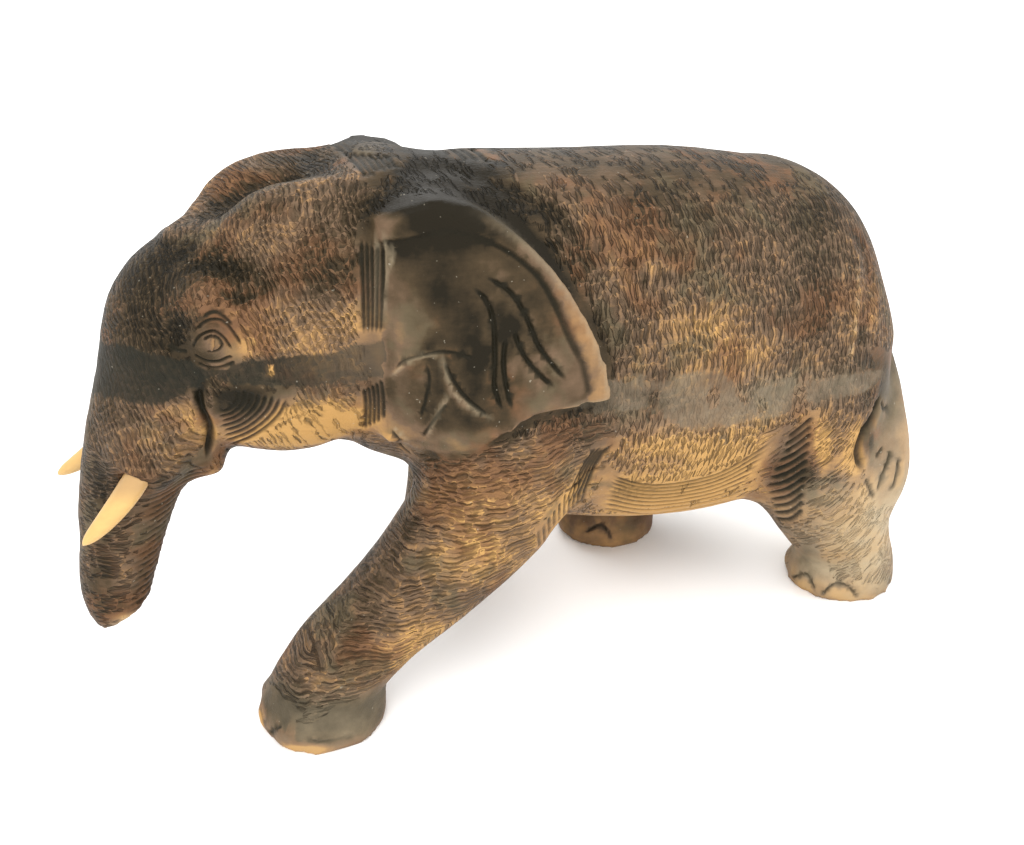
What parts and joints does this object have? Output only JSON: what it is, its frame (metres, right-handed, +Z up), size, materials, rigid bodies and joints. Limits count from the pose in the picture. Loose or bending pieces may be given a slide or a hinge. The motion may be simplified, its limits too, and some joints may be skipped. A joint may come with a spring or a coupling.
{
  "type": "carved wooden elephant",
  "caption": "Carved wooden elephant striding on squat legs, with chisel-worked hide, broad ears, a hanging trunk and pale tusk pegs.",
  "frame": {"origin": "on the ground plane under the middle of the carving's box", "axes": "+Z up; the elephant faces -X and its left side, the side nearest the camera in the picture, is -Y"},
  "size_m": [0.5404, 0.212, 0.3158],
  "materials": {
    "stained_wood": "dark stain and wax, worn back to amber wood on the cheeks, legs and lower flanks",
    "tusk_wood": "pale bare wood, lightly polished"
  },
  "bodies": {
    "root": {"elephant": "stained_wood", "tusk_left": "tusk_wood", "tusk_right": "tusk_wood"}
  },
  "joints": []
}
